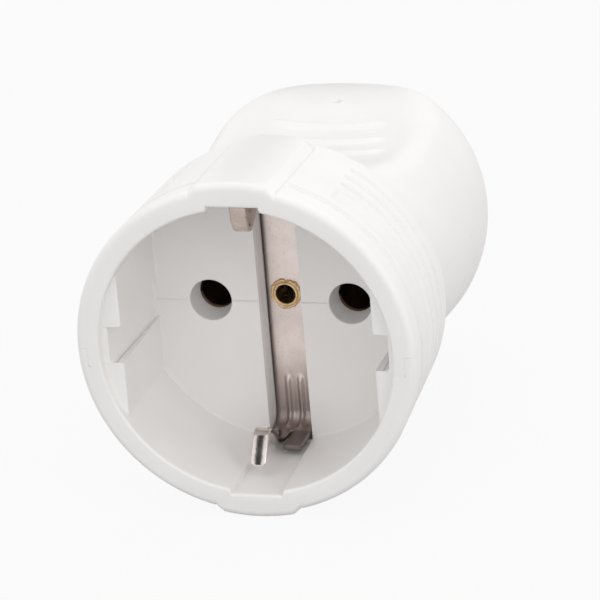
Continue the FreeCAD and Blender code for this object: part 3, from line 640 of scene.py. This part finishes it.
def worn_metal(name, color, dark, roughness, speck_scale, speck_amount):
    """Metal whose colour drifts between two close tones, with sparse specks of darker metal, a roughness that
    varies with them, and a fine bump."""
    material = bpy.data.materials.new(name)
    material.use_nodes = True
    tree = material.node_tree
    shader = tree.nodes["Principled BSDF"]
    shader.inputs["Metallic"].default_value = 1.0
    coords = tree.nodes.new("ShaderNodeTexCoord")
    drift = tree.nodes.new("ShaderNodeTexNoise")
    drift.inputs["Scale"].default_value = 260.0
    drift.inputs["Detail"].default_value = 3.0
    tree.links.new(coords.outputs["Object"], drift.inputs["Vector"])
    speck = tree.nodes.new("ShaderNodeTexNoise")
    speck.inputs["Scale"].default_value = speck_scale
    speck.inputs["Detail"].default_value = 3.0
    tree.links.new(coords.outputs["Object"], speck.inputs["Vector"])
    tone = tree.nodes.new("ShaderNodeValToRGB")
    tone.color_ramp.elements[0].position = 0.35
    tone.color_ramp.elements[0].color = (*[0.75 * c + 0.25 * d for c, d in zip(color, dark)], 1.0)
    tone.color_ramp.elements[1].position = 0.65
    tone.color_ramp.elements[1].color = (*color, 1.0)
    tree.links.new(drift.outputs["Fac"], tone.inputs["Fac"])
    spots = tree.nodes.new("ShaderNodeMapRange")
    spots.inputs["From Min"].default_value = 0.62
    spots.inputs["From Max"].default_value = 0.72
    spots.inputs["To Max"].default_value = speck_amount
    tree.links.new(speck.outputs["Fac"], spots.inputs["Value"])
    mix = tree.nodes.new("ShaderNodeMix")
    mix.data_type = "RGBA"
    mix.inputs["B"].default_value = (*dark, 1.0)
    tree.links.new(spots.outputs["Result"], mix.inputs["Factor"])
    tree.links.new(tone.outputs["Color"], mix.inputs["A"])
    tree.links.new(mix.outputs["Result"], shader.inputs["Base Color"])
    rough = tree.nodes.new("ShaderNodeMapRange")
    rough.inputs["To Min"].default_value = roughness - 0.05
    rough.inputs["To Max"].default_value = roughness + 0.09
    tree.links.new(speck.outputs["Fac"], rough.inputs["Value"])
    tree.links.new(rough.outputs["Result"], shader.inputs["Roughness"])
    bump = tree.nodes.new("ShaderNodeBump")
    bump.inputs["Strength"].default_value = 0.06
    bump.inputs["Distance"].default_value = 0.0001
    tree.links.new(speck.outputs["Fac"], bump.inputs["Height"])
    tree.links.new(bump.outputs["Normal"], shader.inputs["Normal"])
    return material


# Partly brass colour, partly painted shade: the contacts are made much darker than brass, so the deep pin
# holes read dark.
shaded_contact_metal = worn_metal("contact_brass", (0.22, 0.15, 0.095), (0.06, 0.04, 0.03), 0.38, 900.0, 0.7)
zinc = worn_metal("zinc_steel", (0.70, 0.71, 0.72), (0.40, 0.41, 0.43), 0.28, 1600.0, 0.6)
clamp_white = moulded_plastic("clamp_plastic", (0.78, 0.78, 0.76), 0.45)
for name, node in nodes.items():
    if name.endswith("shell") or name in ("earth_strap", "earth_rivet"):
        continue
    node.data.materials.clear()
    if name in ("line_contact", "neutral_contact", "earth_terminal"):
        node.data.materials.append(shaded_contact_metal)
    elif name == "cord_clamp_bar":
        node.data.materials.append(clamp_white)
    else:
        node.data.materials.append(zinc)


# Earth strap
# One strip of nickel-plated spring brass lies in the floor groove and is bent forward at both ends. Each
# leg is slit: its left part springs out as a narrow nose. Two beads pressed into each bend stiffen it.

strap_front = 20.6
strap_thickness = 0.8
strap_skin = 0.05
strap_left = -2.84
strap_right = 2.7
strap_edge = 0.8
strap_right_edge = 0.2
strap_bend = 1.6
leg_z = 18.3
leg_front = 12.7
leg_left = 0.25
tip_round = 0.15
slit_y = 17.5
slit_width = 0.5
bead_x = (-0.75, 0.95)
bead_half = 0.55
bead_height = 0.4
bead_length = 5.3
bead_end_y = 17.8
bead_fade = 1.2
nose_left = -2.25
nose_right = 0.0
nose_half = 0.3
nose_edge = 0.12
nose_crown = 0.36
top_nose = (
    (-3.1, 0.3), (-6.0, 0.05), (-8.4, -1.4), (-10.6, -3.35),
    (-12.2, -4.3), (-13.4, -3.95), (-14.2, -2.4), (-14.45, -0.2),
)
low_nose = (
    (-3.1, 0.3), (-6.0, 0.15), (-8.3, -1.0), (-10.2, -2.8),
    (-11.6, -3.7), (-12.7, -3.35), (-14.1, -1.8), (-15.5, 0.0),
)


def strip_section(thickness, soft, sharp):
    """Closed outline of a flat strip, as shares 0 to 1 across it and depths behind its front: a quarter
    ellipse of the width soft at the front's left edge and of the width sharp at its other edges."""
    bend = np.linspace(0, np.pi / 2, 7)
    across = 1 - np.cos(bend)
    depth = thickness / 2.0 * (1 - np.sin(bend))
    flat = np.linspace(soft, 1 - sharp, 40)[1:-1]
    front_share = [soft * across, flat, 1 - sharp * across[::-1]]
    front_depth = [depth, np.zeros(len(flat)), depth[::-1]]
    back_share = [1 - sharp * across[1:], [0.5], sharp * across[:0:-1], [0.0]]
    back_depth = [thickness - depth[1:], [thickness], thickness - depth[:0:-1], [thickness / 2.0]]
    return np.concatenate(front_share + back_share), np.concatenate(front_depth + back_depth)


def strap_strip():
    """Strip swept along its side view, from one leg over the flat middle to the other leg. The beads stand
    out as soft ridges, and beyond the slit only the right part of each leg goes on; both tips are closed."""
    flat = np.concatenate([
        np.linspace(0, 1.9, 14), np.linspace(2.2, 11.0, 12), np.linspace(11.3, leg_z - strap_bend, 22),
    ])
    bend = np.linspace(0, np.pi / 2, 17)[1:]
    leg = np.concatenate([[18.7, 18.4, 18.1], np.linspace(17.9, 17.1, 13), np.linspace(16.8, leg_front, 9)])
    centre_y = strap_front - strap_bend
    path_y = np.concatenate([np.full(len(flat), strap_front), centre_y + strap_bend * np.cos(bend), leg])
    path_z = np.concatenate([flat, leg_z - strap_bend + strap_bend * np.sin(bend), np.full(len(leg), leg_z)])
    tilt = np.concatenate([np.zeros(len(flat)), bend, np.full(len(leg), np.pi / 2)])
    size = np.ones(len(path_y))
    path_y = np.append(path_y, [leg_front - 0.8 * tip_round, leg_front - tip_round])
    path_z = np.append(path_z, [leg_z, leg_z])
    tilt = np.append(tilt, [np.pi / 2] * 2)
    size = np.append(size, [0.7, 0.0])
    path_y = np.concatenate([path_y[::-1], path_y[1:]])[:, None]
    path_z = np.concatenate([-path_z[::-1], path_z[1:]])[:, None]
    tilt = np.concatenate([tilt[::-1], tilt[1:]])[:, None]
    size = np.concatenate([size[::-1], size[1:]])[:, None]
    width = strap_right - strap_left
    share, depth = strip_section(strap_thickness, strap_edge / width, strap_right_edge / width)
    slit = smooth_step((slit_y + slit_width / 2.0 - path_y) / slit_width) * (tilt > 1.0)
    left = strap_left + (leg_left - strap_left) * slit
    x = left + (strap_right - left) * share
    bead_start = leg_z - strap_bend - bead_length
    rise = smooth_step((np.abs(path_z) - bead_start) / bead_fade)
    rise = rise * smooth_step((path_y - bead_end_y) / bead_fade)
    ridge = sum(smooth_step((bead_half - np.abs(x - middle)) / bead_half) for middle in bead_x)
    depth = depth - bead_height * rise * ridge * (depth < strap_skin)
    middle_x = (left + strap_right) / 2.0
    x = middle_x + (x - middle_x) * size
    depth = strap_thickness / 2.0 + (depth - strap_thickness / 2.0) * size
    y = path_y + depth * np.cos(tilt)
    z = path_z + np.sign(path_z) * depth * np.sin(tilt)
    inside = np.hypot(x, z) < rivet_room
    kept = ~(inside[:-1, :-1] | inside[1:, :-1] | inside[:-1, 1:] | inside[1:, 1:])
    return (x, y, z), kept


def spring_nose(half):
    """Narrow tongue swept along a smooth curve through the points of its side view, which count from the
    strap's front and the leg's height. Its front is slightly crowned across, and its end is closed."""
    points = np.array(top_nose if half > 0 else low_nose)
    tangents = np.gradient(points, axis=0)
    t = np.linspace(0, 1, 9)[:-1, None]
    pieces = []
    for a, b, ta, tb in zip(points[:-1], points[1:], tangents[:-1], tangents[1:]):
        piece = (2 * t**3 - 3 * t**2 + 1) * a + (t**3 - 2 * t**2 + t) * ta
        piece = piece + (3 * t**2 - 2 * t**3) * b
        pieces.append(piece + (t**3 - t**2) * tb)
    line = np.vstack(pieces + [points[-1:]])
    along = np.gradient(line, axis=0)
    along = along / np.linalg.norm(along, axis=1, keepdims=True)
    normal_y, normal_z = along[:, 1:], -along[:, :1]
    share, depth = strip_section(2 * nose_half, nose_edge, nose_edge)
    crown = np.where(depth < strap_skin, nose_crown * (1 - (2 * share - 1) ** 2), 0.0)
    depth = depth - nose_half - crown
    size = np.ones((len(line), 1))
    size[-2:, 0] = (0.75, 0.0)
    middle_x = (nose_left + nose_right) / 2.0
    x = nose_left + (nose_right - nose_left) * share
    x = middle_x + (x - middle_x) * size
    y = strap_front + line[:, :1] - depth * normal_y * size
    z = leg_z + line[:, 1:] - depth * normal_z * size
    return x, y, z * half


def paint_shade_along(material, axis, start, end, tint, amount):
    """Paints shade into the colour of a worn metal: mixes it toward a dark tint, smoothly from one place to
    another along an axis of the connector, in its millimetres."""
    origin = {"X": 0.0, "Y": connector_length / 2.0, "Z": -axis_height}[axis]
    tree = material.node_tree
    shader = tree.nodes["Principled BSDF"]
    body = shader.inputs["Base Color"].links[0].from_socket
    coords = tree.nodes.new("ShaderNodeTexCoord")
    parts = tree.nodes.new("ShaderNodeSeparateXYZ")
    tree.links.new(coords.outputs["Object"], parts.inputs["Vector"])
    share = tree.nodes.new("ShaderNodeMapRange")
    share.interpolation_type = "SMOOTHSTEP"
    share.inputs["From Min"].default_value = (start - origin) * 0.001
    share.inputs["From Max"].default_value = (end - origin) * 0.001
    share.inputs["To Max"].default_value = amount
    tree.links.new(parts.outputs[axis], share.inputs["Value"])
    shade_mix = tree.nodes.new("ShaderNodeMix")
    shade_mix.data_type = "RGBA"
    shade_mix.inputs["B"].default_value = (*tint, 1.0)
    tree.links.new(share.outputs["Result"], shade_mix.inputs["Factor"])
    tree.links.new(body, shade_mix.inputs["A"])
    tree.links.new(shade_mix.outputs["Result"], shader.inputs["Base Color"])


nickel = worn_metal("strip_nickel", (0.88, 0.775, 0.735), (0.42, 0.33, 0.30), 0.33, 3600.0, 0.35)
# Painted reflection and shade: the strip's rolled left edge is darkened almost to black, for the dark gap
# beside it.
paint_shade_along(nickel, "X", -2.0, -2.7, (0.05, 0.04, 0.04), 0.9)
# Painted shade: the strip turns greyer and darker towards the bottom of the recess.
paint_shade_along(nickel, "Z", -8.0, -18.0, (0.30, 0.25, 0.24), 0.6)
# Painted shade: both legs, in front of the bends, are darkened.
paint_shade_along(nickel, "Y", 18.0, 16.8, (0.06, 0.05, 0.045), 0.6)
nose_nickel = worn_metal("nose_nickel", (0.80, 0.74, 0.71), (0.30, 0.22, 0.18), 0.08, 1500.0, 0.5)
# Painted shade: the root of the lower nose, where it arches off the leg, is darkened.
paint_shade_along(nose_nickel, "Y", 9.6, 12.5, (0.16, 0.13, 0.12), 0.6)
strip, strip_kept = strap_strip()
make_piece("earth_strip", [(place(*strip), True, strip_kept)], nickel, "earth_strap")
brown_nickel = worn_metal("brown_nickel", (0.62, 0.53, 0.47), (0.24, 0.15, 0.10), 0.24, 1300.0, 0.85)
make_piece("low_nose", [(place(*spring_nose(-1)), False, None)], nose_nickel, "earth_strap")
make_piece("high_nose", [(place(*spring_nose(1)), True, None)], brown_nickel, "earth_strap")


# Rivet
# A tubular brass rivet holds the strap to the earth terminal; its front end is rolled over and torn a little.

rivet_bore = 1.25
rivet_tube = 1.62
rivet_flare = 2.12
rivet_back = 24.3
rear_collar_radius = rivet_flare + 0.2
rear_collar_end = rivet_back + 0.4
torn_radius = 1.7
torn_fade = 0.35
split_angle = 1.52
split_width = 0.05
split_depth = 0.25


def eyelet():
    """Turned profile from the bore over the rolled front end and back along the tube to its rear collar; the
    rim of the flare wavers with the turn and has one split at the top."""
    profile = np.array([
        (rivet_bore, rear_collar_end), (rivet_bore, 23.0), (rivet_bore, 21.2), (rivet_bore + 0.01, 20.7),
        (1.27, 20.42), (1.33, 20.22), (1.43, 20.12), (1.54, 20.11), (1.64, 20.17), (1.71, 20.27),
        (1.75, 20.36), (1.79, 20.34), (1.86, 20.28), (1.94, 20.27), (2.02, 20.33), (2.09, 20.42),
        (rivet_flare, 20.52), (rivet_flare, strap_front), (rivet_tube, strap_front + 0.02),
        (rivet_tube, rivet_back), (rear_collar_radius, rivet_back), (rear_collar_radius, rear_collar_end),
        (rivet_bore, rear_collar_end),
    ])
    turn = np.linspace(0, 2 * np.pi, 181)[None, :]
    radius = profile[:, :1] + 0 * turn
    depth = profile[:, 1:] + 0 * turn
    torn = smooth_step((radius - torn_radius) / torn_fade) * (depth < strap_front + 0.01)
    waver = 0.055 * np.sin(3 * turn + 0.6) + 0.045 * np.sin(7 * turn + 1.9)
    waver = waver + 0.035 * np.sin(17 * turn) + 0.02 * np.sin(31 * turn + 1.0)
    ripple = 0.10 * np.sin(5 * turn + 0.3) + 0.05 * np.sin(13 * turn)
    split = np.exp(-(((turn - split_angle) / split_width) ** 2))
    radius = radius + torn * waver - torn * split * split_depth
    depth = depth + torn * ripple * (depth < strap_front - 0.05) + split_depth * split * torn
    depth = np.where(torn > 0, np.minimum(depth, strap_front + 0.02), depth)
    return radius * np.cos(turn), depth, radius * np.sin(turn)


brass = worn_metal("rivet_brass", (0.84, 0.62, 0.37), (0.42, 0.27, 0.13), 0.27, 1500.0, 0.7)
make_piece("eyelet", [(place(*eyelet()), True, None)], brass, "earth_rivet")


# Table top, light and camera
# A plain pale table catches the soft shadow. The studio is an even white surround, with one narrow dark gap
# that only shiny surfaces mirror. A large weak lamp hangs above and a smaller, stronger one at the right.

table_half = 1.5
table_corners = [(-table_half, -table_half, 0), (table_half, -table_half, 0)]
table_corners += [(table_half, table_half, 0), (-table_half, table_half, 0)]
table_mesh = bpy.data.meshes.new("table")
table_mesh.from_pydata(table_corners, [], [(0, 1, 2, 3)])
table = bpy.data.objects.new("table", table_mesh)
bpy.context.scene.collection.objects.link(table)
table_white = bpy.data.materials.new("table_white")
table_white.use_nodes = True
tree = table_white.node_tree
plain = tree.nodes["Principled BSDF"]
plain.inputs["Base Color"].default_value = (0.5, 0.5, 0.5, 1.0)
plain.inputs["Roughness"].default_value = 0.9
glow = tree.nodes.new("ShaderNodeEmission")
glow.inputs["Color"].default_value = (1.0, 1.0, 1.0, 1.0)
glow.inputs["Strength"].default_value = 1.0
path = tree.nodes.new("ShaderNodeLightPath")
lift = tree.nodes.new("ShaderNodeMath")
lift.operation = "MULTIPLY"
lift.inputs[1].default_value = 0.92
tree.links.new(path.outputs["Is Camera Ray"], lift.inputs[0])
mirrored = tree.nodes.new("ShaderNodeMath")
mirrored.operation = "MULTIPLY"
mirrored.inputs[1].default_value = 0.6
tree.links.new(path.outputs["Is Glossy Ray"], mirrored.inputs[0])
either = tree.nodes.new("ShaderNodeMath")
either.operation = "MAXIMUM"
tree.links.new(lift.outputs[0], either.inputs[0])
tree.links.new(mirrored.outputs[0], either.inputs[1])
blend = tree.nodes.new("ShaderNodeMixShader")
tree.links.new(either.outputs[0], blend.inputs["Fac"])
tree.links.new(plain.outputs["BSDF"], blend.inputs[1])
tree.links.new(glow.outputs["Emission"], blend.inputs[2])
tree.links.new(blend.outputs["Shader"], tree.nodes["Material Output"].inputs["Surface"])
table_mesh.materials.append(table_white)

world = bpy.data.worlds.new("studio")
bpy.context.scene.world = world
world.use_nodes = True
tree = world.node_tree
background = tree.nodes["Background"]
path = tree.nodes.new("ShaderNodeLightPath")
seen = tree.nodes.new("ShaderNodeMath")
seen.operation = "MAXIMUM"
tree.links.new(path.outputs["Is Camera Ray"], seen.inputs[0])
tree.links.new(path.outputs["Is Transmission Ray"], seen.inputs[1])
coords = tree.nodes.new("ShaderNodeTexCoord")
parts = tree.nodes.new("ShaderNodeSeparateXYZ")
tree.links.new(coords.outputs["Generated"], parts.inputs["Vector"])
offset = tree.nodes.new("ShaderNodeMath")
offset.inputs[1].default_value = 0.27
tree.links.new(parts.outputs["X"], offset.inputs[0])
away = tree.nodes.new("ShaderNodeMath")
away.operation = "ABSOLUTE"
tree.links.new(offset.outputs[0], away.inputs[0])
room = tree.nodes.new("ShaderNodeMapRange")
room.interpolation_type = "SMOOTHSTEP"
room.inputs["From Min"].default_value = 0.055
room.inputs["From Max"].default_value = 0.10
room.inputs["To Min"].default_value = 0.05
room.inputs["To Max"].default_value = 1.0
tree.links.new(away.outputs[0], room.inputs["Value"])
mirrored = tree.nodes.new("ShaderNodeMapRange")
mirrored.inputs["To Min"].default_value = 1.0
tree.links.new(path.outputs["Is Glossy Ray"], mirrored.inputs["Value"])
tree.links.new(room.outputs["Result"], mirrored.inputs["To Max"])
level = tree.nodes.new("ShaderNodeMapRange")
level.inputs["To Max"].default_value = 1.0
tree.links.new(seen.outputs[0], level.inputs["Value"])
tree.links.new(mirrored.outputs["Result"], level.inputs["To Min"])
background.inputs["Color"].default_value = (1, 1, 1, 1)
tree.links.new(level.outputs["Result"], background.inputs["Strength"])

middle = np.array([0.0, 0.0, axis_height * 0.001])
for lamp_name, energy, size, spot in (
    ("overhead", 0.12, 0.6, (-0.15, 0.10, 0.65)),
    ("right_side", 0.52, 0.35, (0.50, -0.36, 0.25)),
):
    lamp = bpy.data.lights.new(lamp_name, "AREA")
    lamp.energy = energy
    lamp.size = size
    lamp_object = bpy.data.objects.new(lamp_name, lamp)
    aim = Vector(middle - np.array(spot))
    lamp_object.matrix_world = Matrix.Translation(spot) @ aim.to_track_quat("-Z", "Y").to_matrix().to_4x4()
    bpy.context.scene.collection.objects.link(lamp_object)

lens = bpy.data.cameras.new("camera")
lens.lens = 270.0
lens.sensor_width = 36.0
lens.clip_end = 10.0
camera = bpy.data.objects.new("camera", lens)
camera_right = (0.9626, 0.2594, -0.0778)
camera_up = (-0.0264, 0.3759, 0.9263)
camera_back = (0.2695, -0.8896, 0.3687)
camera_spot = (0.16161, -0.53739, 0.2409)
rows = list(zip(camera_right, camera_up, camera_back, camera_spot))
camera.matrix_world = Matrix(rows + [(0, 0, 0, 1)])
bpy.context.scene.collection.objects.link(camera)
bpy.context.scene.camera = camera
bpy.context.scene.view_settings.view_transform = "Standard"
